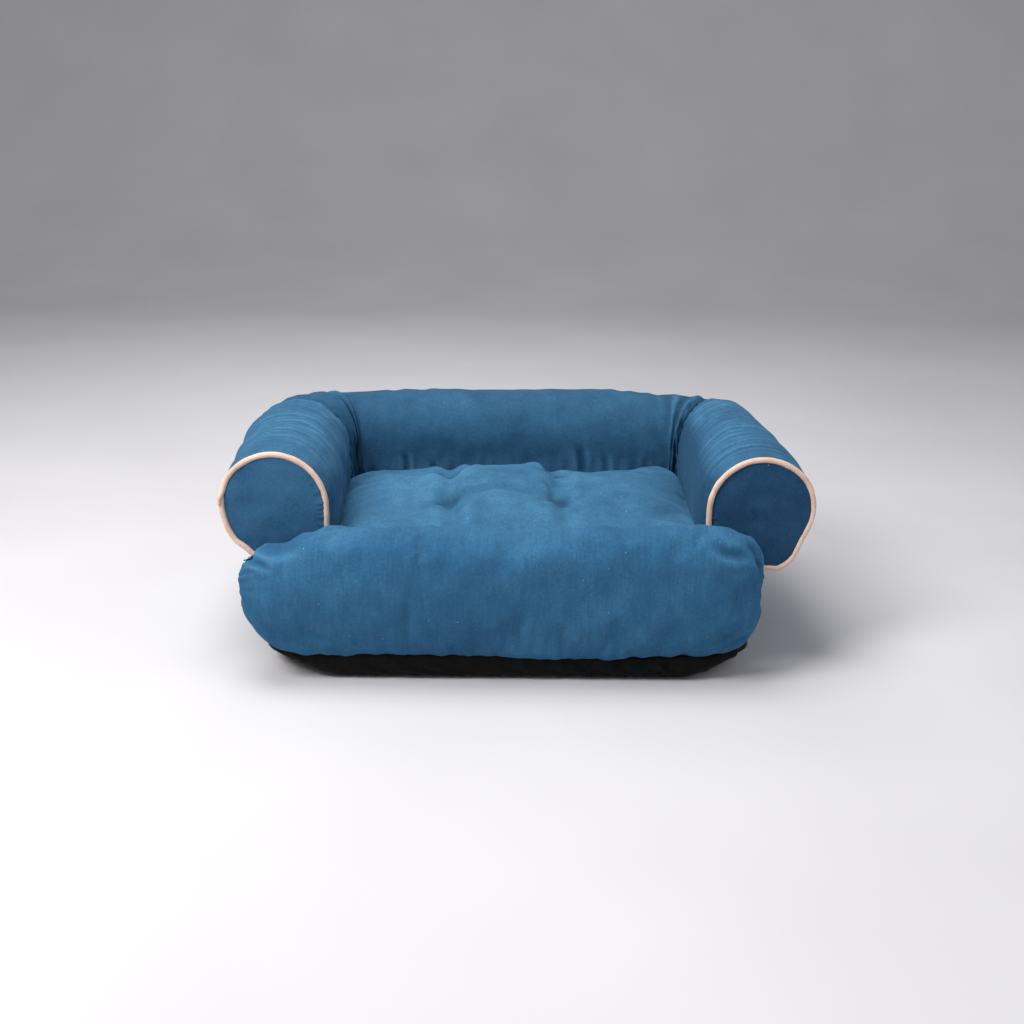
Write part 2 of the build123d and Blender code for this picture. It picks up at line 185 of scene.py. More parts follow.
def suede(name, dark, middle, light, streak=(1, 1, 1), streak_share=0.12, sheen=0.35):
    """Short-pile cloth: cloudy patches where the pile lies differently, streaks, a fine grain, and a
    per-point lightening and darkening that holds a little crushed-pile wear and much painted shade and
    painted highlight.
    """
    s = Shader(name)
    clouds = s.noise(9, 3, 0.5, twist=0.5)
    patches = s.noise(42, 3, 0.6, twist=0.3)
    grain = s.noise(430, 3, 0.7)
    fleck = s.noise(1300, 1, 0.5)
    streaks = s.noise(60, 3, 0.6, vector=s.stretched(streak))
    total = s.math("MULTIPLY", clouds, 0.24)
    total = s.math("MULTIPLY_ADD", patches, 0.14, total)
    total = s.math("MULTIPLY_ADD", streaks, streak_share, total)
    total = s.math("MULTIPLY_ADD", grain, 0.26, total)
    total = s.math("MULTIPLY_ADD", fleck, 0.14, total)
    # The point attribute shifts the cloth's tone: partly crushed-pile wear, mostly painted shade and painted
    # highlight.
    wear_and_painted_light = s.tree.nodes.new("ShaderNodeAttribute")
    wear_and_painted_light.attribute_name = "wear_and_painted_light"
    total = s.math("MULTIPLY_ADD", wear_and_painted_light.outputs["Fac"], 0.16, total)
    half = (0.24 + 0.14 + streak_share + 0.40) / 2
    cloth = s.ramp(total, [(half - 0.16, dark), (half, middle), (half + 0.16, light)])
    colour = s.lint(cloth)
    tufts = s.bump(s.noise(260, 3, 0.6), 0.0006, 0.35)
    pile = s.bump(grain, 0.00035, 0.5, under=tufts)
    fine = s.bump(fleck, 0.0002, 0.4, under=pile)
    return s.finish(colour, 0.92, fine, Sheen_Weight=sheen, Sheen_Roughness=0.42, Specular_IOR_Level=0.18,
                    Sheen_Tint=light)


# One cloth in five tones: the arm ends and the back are painted darker as painted shade, and the cushion
# lighter as painted light.
ARM_SUEDE = suede("cover_suede", linear(30, 68, 98), linear(48, 93, 126), linear(74, 126, 158),
                  streak=(1, 0.3, 1))
FRONT_SUEDE = suede("front_suede", linear(31, 72, 105), linear(44, 92, 128), linear(62, 115, 150),
                    streak=(6.0, 1, 0.70), streak_share=0.15)
CAP_SUEDE = suede("cap_suede", linear(27, 62, 92), linear(38, 80, 114), linear(54, 100, 134))
BACK_SUEDE = suede("back_suede", linear(26, 61, 89), linear(41, 83, 114), linear(58, 106, 138),
                   streak=(1, 1, 0.4))
CUSHION_SUEDE = suede("cushion_suede", linear(34, 73, 102), linear(53, 101, 134), linear(78, 131, 165),
                      streak=(1, 1, 1), sheen=0.4)


def black_weave():
    """A plain black cloth with a fine irregular weave."""
    s = Shader("black_weave")
    across = s.noise(500, 2, 0.5, vector=s.stretched((1.0, 1.0, 0.22)))
    along = s.noise(500, 2, 0.5, vector=s.stretched((0.22, 0.22, 1.0)))
    weave = s.math("MULTIPLY", s.math("ADD", across, along), 0.5)
    lint = s.noise(160, 4, 0.7)
    total = s.math("MULTIPLY_ADD", weave, 0.6, s.math("MULTIPLY", lint, 0.4))
    colour = s.ramp(total, [(0.3, linear(3, 3, 3)), (0.5, linear(7, 7, 7)), (0.75, linear(19, 19, 19))])
    normal = s.bump(weave, 0.0004, 0.6, under=s.bump(s.noise(40, 3), 0.001, 0.3))
    return s.finish(colour, 0.9, normal, Specular_IOR_Level=0.15, Sheen_Weight=0.03)


def binding():
    """Smooth cream cloth cut on the bias, so that its threads cross the piping at a slant."""
    s = Shader("cream_binding")
    slanted = s.stretched((1, 1, 1), (0.6, 0.5, 0.8))
    first = s.wave(300, "X", slanted, 0.4)
    second = s.wave(300, "Y", slanted, 0.4)
    weave = s.math("MULTIPLY", first, second)
    dirt = s.noise(60, 4, 0.6)
    total = s.math("MULTIPLY_ADD", weave, 0.3, s.math("MULTIPLY", dirt, 0.7))
    dark, middle, light = linear(204, 166, 144), linear(229, 198, 177), linear(243, 220, 204)
    colour = s.ramp(total, [(0.2, dark), (0.5, middle), (0.85, light)])
    normal = s.bump(weave, 0.00025, 0.5, under=s.bump(s.noise(110, 2), 0.0006, 0.4))
    return s.finish(colour, 0.72, normal, Specular_IOR_Level=0.3, Sheen_Weight=0.2)


def plain_cloth(name, dark, light, thread=420, rough=0.85):
    """Tape, thread or lining: a fine weave with a little colour variation."""
    s = Shader(name)
    weave = s.math("MULTIPLY", s.wave(thread, "X"), s.wave(thread, "Z"))
    total = s.math("MULTIPLY_ADD", weave, 0.5, s.math("MULTIPLY", s.noise(180, 3), 0.5))
    colour = s.ramp(total, [(0.2, dark), (0.8, light)])
    return s.finish(colour, rough, s.bump(weave, 0.0002, 0.5), Specular_IOR_Level=0.25)


def moulded(name, dark, light, rough, metal=0.0):
    """Moulded nylon, foam or enamelled metal, with faint mottling and worn spots."""
    s = Shader(name)
    total = s.noise(350, 4, 0.6)
    colour = s.ramp(total, [(0.3, dark), (0.7, light)])
    return s.finish(colour, rough, s.bump(s.noise(900, 2), 0.0001, 0.4), Metallic=metal)


BLACK = black_weave()
CREAM = binding()
TAPE = plain_cloth("zip_tape_cloth", linear(27, 60, 86), linear(44, 84, 114))
THREAD = plain_cloth("dark_thread", linear(14, 24, 34), linear(34, 54, 74), 900)
WHITE_FILL = plain_cloth("fibre_filling", linear(206, 206, 202), linear(240, 240, 236), 120)
FOAM = moulded("foam", linear(205, 200, 180), linear(232, 228, 208), 0.9)
NYLON = moulded("zip_nylon", linear(24, 46, 68), linear(40, 70, 98), 0.45)
ENAMEL = moulded("zip_enamel", linear(34, 46, 58), linear(70, 84, 98), 0.32, 0.85)

# -------- mesh helpers


def mark_wear_and_painted_light(mesh, amount):
    """Keeps, per point, how much lighter (above 0) or darker (below 0) the cloth is painted: crushed-pile
    wear along fold ridges, painted shade in folds, dimples and corners, and painted light and painted shade
    on whole panels.
    """
    attribute = mesh.attributes.new("wear_and_painted_light", "FLOAT", "POINT")
    values = np.zeros(len(mesh.vertices))
    flat = np.asarray(amount, float).reshape(-1)[: len(values)]
    values[: len(flat)] = flat
    attribute.data.foreach_set("value", values)


def add_object(name, mesh, material, body, smooth=True):
    mesh.validate()
    piece = bpy.data.objects.new(name, mesh)
    bpy.context.collection.objects.link(piece)
    mesh.materials.clear()
    mesh.materials.append(material)
    for polygon in mesh.polygons:
        polygon.use_smooth = smooth
    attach(piece, body)
    return piece


def grid_mesh(name, points, wrap_rows=False, wrap_columns=False, close_ends=False):
    """A mesh from rows of points. close_ends puts a flat fan on the first and last row."""
    rows, columns = points.shape[:2]
    vertices = points.reshape(-1, 3).tolist()
    faces = []
    for i in range(rows if wrap_rows else rows - 1):
        for j in range(columns if wrap_columns else columns - 1):
            a, b = i, (i + 1) % rows
            c, d = j, (j + 1) % columns
            faces.append((a * columns + c, b * columns + c, b * columns + d, a * columns + d))
    if close_ends:
        for row, turned in ((0, False), (rows - 1, True)):
            middle = len(vertices)
            vertices.append(points[row].mean(axis=0).tolist())
            for j in range(columns):
                pair = (row * columns + j, row * columns + (j + 1) % columns)
                faces.append((middle, *pair) if not turned else (middle, *reversed(pair)))
    mesh = bpy.data.meshes.new(name)
    mesh.from_pydata(vertices, [], faces)
    outwards(mesh)
    return mesh


def outwards(mesh):
    """Turns every face to look out of its closed shell."""
    work = bmesh.new()
    work.from_mesh(mesh)
    bmesh.ops.recalc_face_normals(work, faces=work.faces)
    work.to_mesh(mesh)
    work.free()


def read_points(mesh):
    points = np.empty(len(mesh.vertices) * 3)
    mesh.vertices.foreach_get("co", points)
    return points.reshape(-1, 3)


def write_points(mesh, points):
    mesh.vertices.foreach_set("co", points.reshape(-1))
    mesh.update()


def read_normals(mesh):
    normals = np.empty(len(mesh.vertices) * 3)
    mesh.vertices.foreach_get("normal", normals)
    return normals.reshape(-1, 3)


def rolling(points, scale, seed, waves=18):
    """Smooth seeded noise, about -1 to 1, whose bumps are about scale apart."""
    rng = np.random.default_rng(seed)
    directions = rng.normal(size=(waves, points.shape[-1]))
    directions /= np.linalg.norm(directions, axis=1, keepdims=True)
    lengths = 2 * math.pi / (scale * rng.uniform(0.7, 1.6, waves))
    phases = rng.uniform(0, 2 * math.pi, waves)
    total = np.zeros(points.shape[:-1])
    for direction, length, phase in zip(directions, lengths, phases):
        total += np.sin(points @ direction * length + phase)
    return total / math.sqrt(waves / 2) / 1.6


def smooth_step(value, low, high):
    x = np.clip((value - low) / (high - low), 0, 1)
    return x * x * (3 - 2 * x)


def crease(flat, line, depth, width, lip=0.45):
    """Height and painted mark of one fold along a line of 2-D points, for 2-D surface positions.

    A fold is a narrow valley with a softer ridge on each side, and it fades out at both ends.
    """
    line = np.asarray(line, dtype=float)
    steps = np.linalg.norm(np.diff(line, axis=0), axis=1)
    run = np.concatenate([[0], np.cumsum(steps)])
    nearest = np.full(flat.shape[:-1], 1e9)
    along = np.zeros(flat.shape[:-1])
    for k in range(len(line) - 1):
        edge = line[k + 1] - line[k]
        share = np.clip(((flat - line[k]) @ edge) / (edge @ edge), 0, 1)
        gap = np.linalg.norm(flat - line[k] - share[..., None] * edge, axis=-1)
        closer = gap < nearest
        nearest = np.where(closer, gap, nearest)
        along = np.where(closer, (run[k] + share * steps[k]) / run[-1], along)
    fade = np.clip(np.sin(math.pi * np.clip(along, 0.02, 0.98)), 0, 1) ** 0.6
    x = nearest / width
    height = depth * fade * (-np.exp(-x * x) + lip * np.exp(-((x - 2.1) / 1.1) ** 2))
    # The mark lightens the ridges beside the fold, partly crushed-pile wear and partly painted highlight, and
    # darkens the valley with painted shade.
    mark = fade * (0.8 * np.exp(-((x - 1.5) / 0.7) ** 2) - 0.7 * np.exp(-x * x)) * min(1.0, depth / 0.0025)
    return height, mark


def crease_all(flat, folds):
    """The heights and the painted marks of several folds together: crushed-pile wear and painted highlight on
    ridges, painted shade in valleys.
    """
    height, mark = np.zeros(flat.shape[:-1]), np.zeros(flat.shape[:-1])
    for line, depth, width in folds:
        one, rub = crease(flat, line, depth, width)
        height += one
        mark += rub
    return height, mark


def bent(start, end, sag, count=9):
    """A line of 2-D points from start to end that bows sideways by sag."""
    start, end = np.asarray(start, float), np.asarray(end, float)
    t = np.linspace(0, 1, count)[:, None]
    side = np.array([-(end - start)[1], (end - start)[0]])
    side /= np.linalg.norm(side)
    return start + (end - start) * t + side * sag * np.sin(math.pi * t)


# -------- rolls and walls

ROLL_X, ROLL_Y, ROLL_Z, ROLL_R = 0.244, 0.174, 0.170, 0.056
BEND_R = 0.070
BEND_X, BEND_Y = ROLL_X - BEND_R, ROLL_Y - BEND_R
FRONT_Y = -0.156
WALL_OUT, WALL_IN = 0.018, -0.056
ROLL_FOOT = 0.102
ARM_RUN = BEND_Y - FRONT_Y
BEND_RUN = BEND_R * math.pi / 2
BACK_RUN = 2 * BEND_X
WHOLE_RUN = 2 * ARM_RUN + 2 * BEND_RUN + BACK_RUN


def softened(corners, soften, count):
    """A closed outline through dense corner points, smoothed by soften and evenly spaced."""
    corners = np.asarray(corners, float)
    ring = np.vstack([corners, corners[:1]])
    run = np.concatenate([[0], np.cumsum(np.linalg.norm(np.diff(ring, axis=0), axis=1))])
    dense = 1024
    at = np.linspace(0, run[-1], dense, endpoint=False)
    outline = np.stack([np.interp(at, run, ring[:, k]) for k in (0, 1)], axis=1)
    waves = np.fft.fftfreq(dense, run[-1] / dense)
    window = np.exp(-2 * (math.pi * waves * soften) ** 2)
    outline = np.stack([np.fft.ifft(np.fft.fft(outline[:, k]) * window).real for k in (0, 1)], axis=1)
    ring = np.vstack([outline, outline[:1]])
    run = np.concatenate([[0], np.cumsum(np.linalg.norm(np.diff(ring, axis=0), axis=1))])
    at = np.linspace(0, run[-1], count, endpoint=False)
    return np.stack([np.interp(at, run, ring[:, k]) for k in (0, 1)], axis=1), run[-1]


def roll_section(count=190, soften=0.007):
    """The roll's section, from its outer lower corner round the inner side and over the top."""
    away = math.hypot(WALL_OUT, ROLL_FOOT - ROLL_Z)
    turn = math.atan2(ROLL_FOOT - ROLL_Z, WALL_OUT) + math.acos(ROLL_R / away)
    arc = np.linspace(math.pi, turn, 60)
    corners = [(WALL_OUT, ROLL_FOOT), (-ROLL_R, ROLL_FOOT)]
    corners += [(ROLL_R * math.cos(a), ROLL_Z + ROLL_R * math.sin(a)) for a in arc]
    return softened(corners, soften, count)


def wall_section(count=90):
    low, high, tuck = 0.0285, ROLL_FOOT - 0.0002, 0.028
    arc = np.linspace(-math.pi / 2, 0, 14)
    corners = [(WALL_IN, low)]
    corners += [(WALL_OUT - tuck + tuck * math.cos(a), low + tuck + tuck * math.sin(a)) for a in arc]
    corners += [(WALL_OUT, high), (WALL_IN, high)]
    return softened(corners, 0.004, count)


def route(run):
    """Position and outward direction, in plan, at distances along the rolls' centre line.

    It starts at the left arm's front, goes round the back, and ends at the right arm's front.
    """
    run = np.asarray(run, float)
    mirrored = run > WHOLE_RUN / 2
    half = np.where(mirrored, WHOLE_RUN - run, run)
    turn = np.clip((half - ARM_RUN) / BEND_R, 0, math.pi / 2)
    on_arm, on_back = half < ARM_RUN, half > ARM_RUN + BEND_RUN
    x = np.where(on_arm, -ROLL_X, -BEND_X - BEND_R * np.cos(turn))
    y = np.where(on_arm, FRONT_Y + half, BEND_Y + BEND_R * np.sin(turn))
    x = np.where(on_back, -BEND_X + half - ARM_RUN - BEND_RUN, x)
    y = np.where(on_back, ROLL_Y, y)
    out_x, out_y = -np.cos(turn), np.sin(turn)
    flip = np.where(mirrored, -1.0, 1.0)
    return np.stack([x * flip, y], axis=-1), np.stack([out_x * flip, out_y], axis=-1)


def swept(section, runs, swell):
    """A section carried along the route, and its marks of wear, painted shade and painted highlight. swell
    gives the added height and the mark.
    """
    outline, length = section
    count = len(outline)
    tangent = np.roll(outline, -1, axis=0) - np.roll(outline, 1, axis=0)
    tangent /= np.linalg.norm(tangent, axis=1, keepdims=True)
    normal = np.stack([-tangent[:, 1], tangent[:, 0]], axis=1)
    centre = outline.mean(axis=0)
    if ((outline - centre) * normal).sum() < 0:
        normal = -normal
    around = np.arange(count) / count * length
    run_grid, around_grid = np.meshgrid(runs, around, indexing="ij")
    height, mark = swell(run_grid, around_grid)
    u = outline[None, :, 0] + normal[None, :, 0] * height
    v = outline[None, :, 1] + normal[None, :, 1] * height
    place, out = route(runs)
    points = np.stack(
        [place[:, None, 0] + out[:, None, 0] * u, place[:, None, 1] + out[:, None, 1] * u, v], axis=-1
    )
    return points, mark


def lean(points):
    """The bed sits a little askew: its rolls stand to one side, the back sags, and the arms' feet spread."""
    moved = points.copy()
    x, y, z = points[..., 0], points[..., 1], points[..., 2]
    right, rear = smooth_step(x, -0.10, 0.10), smooth_step(y, -0.12, 0.09)
    left_shift = 0.0020 - (0.0100 + 0.0035 * smooth_step(-x, 0.200, 0.280)) * rear
    right_shift = 0.0070 * (1 - rear) + (0.0150 - 0.0150 * smooth_step(x, 0.188, 0.300)) * rear
    moved[..., 0] += (left_shift * (1 - right) + right_shift * right) * smooth_step(z, 0.04, 0.13)
    middle = smooth_step(y, 0.09, 0.17) * (1 - 0.5 * smooth_step(np.abs(x), 0.12, 0.24))
    outer = smooth_step(np.abs(x), 0.08, 0.20)
    sag = 0.0055 * middle + 0.0015 + outer * (0.0008 + 0.0016 * right + 0.0040 * smooth_step(y, 0.06, 0.16))
    moved[..., 2] -= sag * smooth_step(z, 0.12, 0.22)
    front = smooth_step(-y, -0.05, 0.15)
    low_left = smooth_step(-x, 0.235, 0.262) * smooth_step(-z, -0.158, -0.112) * front
    moved[..., 0] -= 0.0060 * low_left
    moved[..., 2] += 0.0100 * low_left * smooth_step(-z, -0.135, -0.104)
    low_right = smooth_step(x, 0.240, 0.268) * np.exp(-(((z - 0.114) / 0.019) ** 2)) * front
    moved[..., 0] += 0.0085 * low_right
    moved[..., 2] -= 0.0035 * low_right
    return moved


LEFT_SEAM = ARM_RUN + math.radians(3) * BEND_R
RIGHT_SEAM = WHOLE_RUN - ARM_RUN - math.radians(47) * BEND_R
SECTION, AROUND = roll_section()


def arm_swell(front_at, seam_at, folds, seed, painted_inner_shade=0.0):
    """Heights on an arm's roll: full in the middle, drawn in at both seams, with its own folds."""

    def swell(run, around):
        flat = np.stack([run, around], axis=-1)
        from_front = np.abs(run - front_at)
        from_back = np.abs(run - seam_at)
        height = 0.0022 * smooth_step(from_front, 0, 0.06) * smooth_step(from_back, 0, 0.05)
        height += 0.0012 * rolling(flat, 0.090, seed)
        height += 0.0004 * rolling(flat, 0.03, seed + 1)
        height -= 0.0062 * np.exp(-from_front / 0.009)
        pucker = rolling(np.stack([run * 0.3, around], axis=-1), 0.011, seed + 2)
        height += 0.0010 * pucker * np.exp(-from_front / 0.014)
        height += 0.0016 * pucker * np.exp(-from_back / 0.018)
        height -= 0.0075 * np.exp(-((from_back / 0.0075) ** 2))
        folded, mark = crease_all(flat, folds)
        # painted shade darkens the roll's inner side by the given amount
        mark += painted_inner_shade * smooth_step(around, 0.060, 0.085) * (1 - smooth_step(around, 0.140, 0.185))
        return height + folded, mark

    return swell


def left_folds():
    folds = []
    for run, start, end, slant, depth in (
        (0.040, 0.150, 0.290, 0.010, 0.0011),
        (0.066, 0.165, 0.270, 0.016, 0.0013),
        (0.092, 0.140, 0.262, 0.014, 0.0012),
        (0.112, 0.175, 0.250, 0.020, 0.0016),
        (0.137, 0.150, 0.275, 0.016, 0.0013),
        (0.160, 0.180, 0.262, 0.022, 0.0014),
        (0.186, 0.160, 0.255, 0.018, 0.0012),
        (0.208, 0.150, 0.240, 0.020, 0.0011),
        (0.236, 0.140, 0.235, 0.016, 0.0012),
    ):
        folds.append((bent((run, start), (run + slant, end), -0.008), depth, 0.0036))
        minor = bent((run + 0.012, start + 0.03), (run + 0.3 * slant, end), 0.006)
        folds.append((minor, 0.4 * depth, 0.0030))
    return folds


def right_folds():
    folds = []
    for back, start, end, slant, depth in (
        (0.022, 0.140, 0.260, 0.012, 0.0014),
        (0.044, 0.150, 0.270, 0.014, 0.0015),
        (0.070, 0.160, 0.240, 0.018, 0.0013),
        (0.098, 0.150, 0.265, 0.018, 0.0016),
        (0.124, 0.170, 0.255, 0.022, 0.0012),
        (0.150, 0.160, 0.270, 0.016, 0.0013),
        (0.180, 0.150, 0.240, 0.020, 0.0011),
        (0.215, 0.150, 0.250, 0.014, 0.0014),
        (0.250, 0.130, 0.230, 0.010, 0.0016),
    ):
        run = WHOLE_RUN - back
        folds.append((bent((run, start), (run - slant, end), 0.008), depth, 0.0036))
        minor = bent((run - 0.012, start + 0.03), (run - 0.3 * slant, end), -0.006)
        folds.append((minor, 0.4 * depth, 0.0030))
    return folds


def back_swell(run, around):
    flat = np.stack([run, around], axis=-1)
    start, end = run - LEFT_SEAM, RIGHT_SEAM - run
    height = 0.0012 * smooth_step(start, 0, 0.05) * smooth_step(end, 0, 0.05)
    height += 0.0016 * rolling(flat, 0.110, 41)
    height += 0.0004 * rolling(flat, 0.034, 42)
    pucker = rolling(np.stack([run, around * 0.25], axis=-1), 0.014, 43)
    foot = smooth_step(around, 0.055, 0.080) * (1 - smooth_step(around, 0.085, 0.130))
    height += 0.0018 * pucker * foot
    height += 0.0016 * rolling(flat, 0.013, 44) * (np.exp(-start / 0.015) + np.exp(-end / 0.02))
    height -= 0.0050 * np.exp(-((start / 0.008) ** 2)) + 0.0050 * np.exp(-((end / 0.008) ** 2))
    left_fold = ARM_RUN + math.radians(48) * BEND_R
    right_fold = WHOLE_RUN - ARM_RUN - math.radians(66) * BEND_R
    lines = [
        (bent((left_fold + 0.002, 0.285), (left_fold, 0.080), 0.004), 0.0080, 0.0042),
        (bent((left_fold - 0.012, 0.150), (left_fold - 0.008, 0.080), 0.003), 0.0030, 0.0035),
        (bent((right_fold, 0.260), (right_fold + 0.004, 0.110), -0.004), 0.0028, 0.0080),
        (bent((right_fold + 0.010, 0.150), (right_fold + 0.012, 0.080), 0.002), 0.0048, 0.0038),
        (bent((right_fold - 0.030, 0.250), (right_fold - 0.028, 0.150), 0.004), 0.0014, 0.0080),
        (bent((RIGHT_SEAM - 0.008, 0.248), (RIGHT_SEAM - 0.006, 0.220), 0.002), 0.0022, 0.0034),
    ]
    for at, low, high, depth, width in (
        (0.402, 0.226, 0.262, 0.0018, 0.0060),
        (0.436, 0.232, 0.256, 0.0012, 0.0055),
        (0.662, 0.228, 0.260, 0.0014, 0.0060),
        (0.705, 0.222, 0.262, 0.0018, 0.0055),
        (0.420, 0.084, 0.118, 0.0030, 0.0040),
        (0.452, 0.086, 0.108, 0.0020, 0.0040),
        (0.560, 0.084, 0.112, 0.0018, 0.0040),
        (0.612, 0.084, 0.128, 0.0028, 0.0045),
        (0.640, 0.084, 0.118, 0.0024, 0.0040),
    ):
        lines.append((bent((at, high), (at + 0.002, low), 0.002), depth, width))
    folded, mark = crease_all(flat, lines)
    # Painted shade: the inner face is darkened beside the left fold and near the right seam.
    inner = smooth_step(around, 0.060, 0.085) * (1 - smooth_step(around, 0.150, 0.230))
    beside_left = np.exp(-(((run - left_fold - 0.012) / 0.022) ** 2))
    mark -= inner * (0.9 * beside_left + 0.6 * np.exp(-((end / 0.025) ** 2)))
    return height + folded, mark


def roll_piece(name, start, end, swell, material, *nodes):
    runs = np.linspace(start, end, max(int((end - start) / 0.0018), 8))
    points, mark = swept((SECTION, AROUND), runs, swell)
    mesh = grid_mesh(name, lean(points), wrap_columns=True, close_ends=True)
    mark_wear_and_painted_light(mesh, mark)
    piece = add_object(name, mesh, material, "sofa_frame")
    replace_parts(piece, *nodes)
    return piece


# Painted shade: the right arm's inner side is painted darker, though it is the same cloth as the rest of the
# bed
RIGHT_INNER_PAINTED_SHADE = -2.0
LEFT_ARM = arm_swell(0, LEFT_SEAM, left_folds(), 11)
roll_piece("left_arm_roll", 0.0, LEFT_SEAM, LEFT_ARM, ARM_SUEDE, "left_arm_cover", "left_arm_filling")
RIGHT_ARM = arm_swell(WHOLE_RUN, RIGHT_SEAM, right_folds(), 27, RIGHT_INNER_PAINTED_SHADE)
roll_piece("right_arm_roll", RIGHT_SEAM, WHOLE_RUN, RIGHT_ARM, ARM_SUEDE,
           "right_arm_cover", "right_arm_filling")
roll_piece("back_roll", LEFT_SEAM, RIGHT_SEAM, back_swell, BACK_SUEDE,
           "back_bolster_cover", "back_bolster_filling")

WALL_SECTION, WALL_AROUND = wall_section()


def wall_swell(seed, zip_from=None, zip_to=None):
    """A wall bulges a little between its seams, and lies flat where the zip is sewn in."""

    def swell(run, around):
        flat = np.stack([run, around], axis=-1)
        height = 0.0012 * rolling(flat, 0.06, seed) + 0.0006 * rolling(flat, 0.02, seed + 1)
        pucker = rolling(np.stack([run, around * 0.2], axis=-1), 0.012, seed + 2)
        height += 0.0010 * pucker
        if zip_from is not None:
            middle = (zip_from + zip_to) / 2
            reach = (zip_to - zip_from) / 2
            across = 1 - smooth_step(np.abs(run - middle), reach + 0.008, reach + 0.03)
            up = 1 - smooth_step(np.abs(around - ZIP_AROUND), 0.014, 0.026)
            height = height * (1 - across * up) - 0.0014 * across * up
        return height, np.zeros_like(height)

    return swell


# Where the frame's zip lies, as a distance round the wall's section
ZIP_AROUND = float(WALL_AROUND / len(WALL_SECTION)
                   * np.argmin(np.hypot(WALL_SECTION[:, 0] - WALL_OUT, WALL_SECTION[:, 1] - 0.074)))


# How far the right wall's front end lies in behind the bolster
RIGHT_WALL_TUCK = 0.0150


def wall_piece(name, start, end, swell, *nodes):
    runs = np.linspace(start, end, max(int((end - start) / 0.003), 8))
    points, _ = swept((WALL_SECTION, WALL_AROUND), runs, swell)
    tuck = smooth_step(points[..., 0], 0.215, 0.262) * smooth_step(-points[..., 1], 0.04, 0.15)
    points[..., 0] -= RIGHT_WALL_TUCK * tuck
    piece = add_object(name, grid_mesh(name, points, wrap_columns=True, close_ends=True), BACK_SUEDE,
                       "sofa_frame")
    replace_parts(piece, *nodes)
    return piece


CORNER = ARM_RUN + BEND_RUN / 2
wall_piece("left_wall", -0.0060, CORNER, wall_swell(51), "left_wall_cover", "left_wall_foam")
ZIP_HALF = 0.157
BACK_WALL = wall_swell(54, WHOLE_RUN / 2 - ZIP_HALF, WHOLE_RUN / 2 + ZIP_HALF)
wall_piece("back_wall", CORNER, WHOLE_RUN - CORNER, BACK_WALL, "back_wall_cover", "back_wall_foam")
wall_piece("right_wall", WHOLE_RUN - CORNER, WHOLE_RUN + 0.0060, wall_swell(57), "right_wall_cover",
           "right_wall_foam")

# -------- arm ends and piping

PIPING_R = 0.0029
# Painted light on the left arm's end and painted shade on the right one; both ends are the same cloth.
LEFT_CAP_PAINTED_LIGHT, RIGHT_CAP_PAINTED_SHADE = 0.50, -0.65


def cap_outline(side, count=220, soften=0.006):
    """The arm end's outline in X and Z, right or left, after the bed's lean."""
    outline, _ = roll_section(count, soften)
    points = np.zeros((count, 3))
    points[:, 0] = side * (ROLL_X + outline[:, 0])
    points[:, 1] = FRONT_Y
    points[:, 2] = outline[:, 1]
    return lean(points)[:, (0, 2)]


def end_cap(side, name, node):
    """The arm's end: a slightly domed panel, gathered where it meets the piping."""
    outline = cap_outline(side)
    centre = outline.mean(axis=0)
    rings = np.linspace(0.02, 1, 46)
    angle = np.arctan2(outline[:, 1] - centre[1], outline[:, 0] - centre[0])
    points = np.zeros((len(rings), len(outline), 3))
    inward = side * (centre[0] - outline[:, 0])
    gathered = smooth_step(inward, 0.02, 0.05) * (1 - smooth_step(np.abs(outline[:, 1] - 0.165), 0.018, 0.04))
    for i, ring in enumerate(rings):
        flat = centre + (outline - centre) * ring * 0.955
        points[i, :, 0] = flat[:, 0]
        points[i, :, 2] = flat[:, 1]
        dome = 0.0035 * (1 - ring ** 2.5)
        wrinkle = 0.0012 * rolling(flat, 0.03, 61 + side) * (1 - ring ** 6)
        around = np.stack([np.cos(angle) * 0.05, np.sin(angle) * 0.05], axis=-1)
        gather = rolling(around, 0.0055, 71 + side) * 0.0006 * smooth_step(ring, 0.74, 0.97)
        gather *= 0.35 + 1.3 * gathered
        points[i, :, 1] = FRONT_Y - 0.0016 - dome - wrinkle * 0.6 - gather
    mesh = grid_mesh(name, points, wrap_columns=True)
    work = bmesh.new()
    work.from_mesh(mesh)
    bmesh.ops.holes_fill(work, edges=[e for e in work.edges if e.is_boundary and e.calc_length() < 0.0005])
    work.to_mesh(mesh)
    work.free()
    # the whole end panel is painted lighter on the left arm and darker on the right one
    mark_wear_and_painted_light(mesh, np.full(len(mesh.vertices), LEFT_CAP_PAINTED_LIGHT if side < 0 else RIGHT_CAP_PAINTED_SHADE))
    piece = add_object(name, mesh, CAP_SUEDE, "sofa_frame")
    thick = piece.modifiers.new("thickness", "SOLIDIFY")
    thick.thickness = 0.0012
    thick.offset = 0
    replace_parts(piece, node)
    return piece


def tube(name, path, radius, sides=14):
    """A round tube's mesh through a line of points, with its ends closed. radius may vary along it."""
    path = np.asarray(path, float)
    count = len(path)
    radius = np.broadcast_to(radius, count)
    ahead = np.gradient(path, axis=0)
    ahead /= np.linalg.norm(ahead, axis=1, keepdims=True)
    side = np.cross(ahead[0], (0, 0, 1) if abs(ahead[0][2]) < 0.9 else (0, 1, 0))
    rows = []
    for k in range(count):
        side = side - ahead[k] * (side @ ahead[k])
        side /= np.linalg.norm(side)
        up = np.cross(ahead[k], side)
        turn = np.linspace(0, 2 * math.pi, sides, endpoint=False)[:, None]
        rows.append(path[k] + radius[k] * (np.cos(turn) * side + np.sin(turn) * up))
    return grid_mesh(name, np.array(rows), wrap_columns=True, close_ends=True)


def merged(name, meshes):
    """One mesh made of several."""
    work = bmesh.new()
    for mesh in meshes:
        work.from_mesh(mesh)
    whole = bpy.data.meshes.new(name)
    work.to_mesh(whole)
    work.free()
    return whole


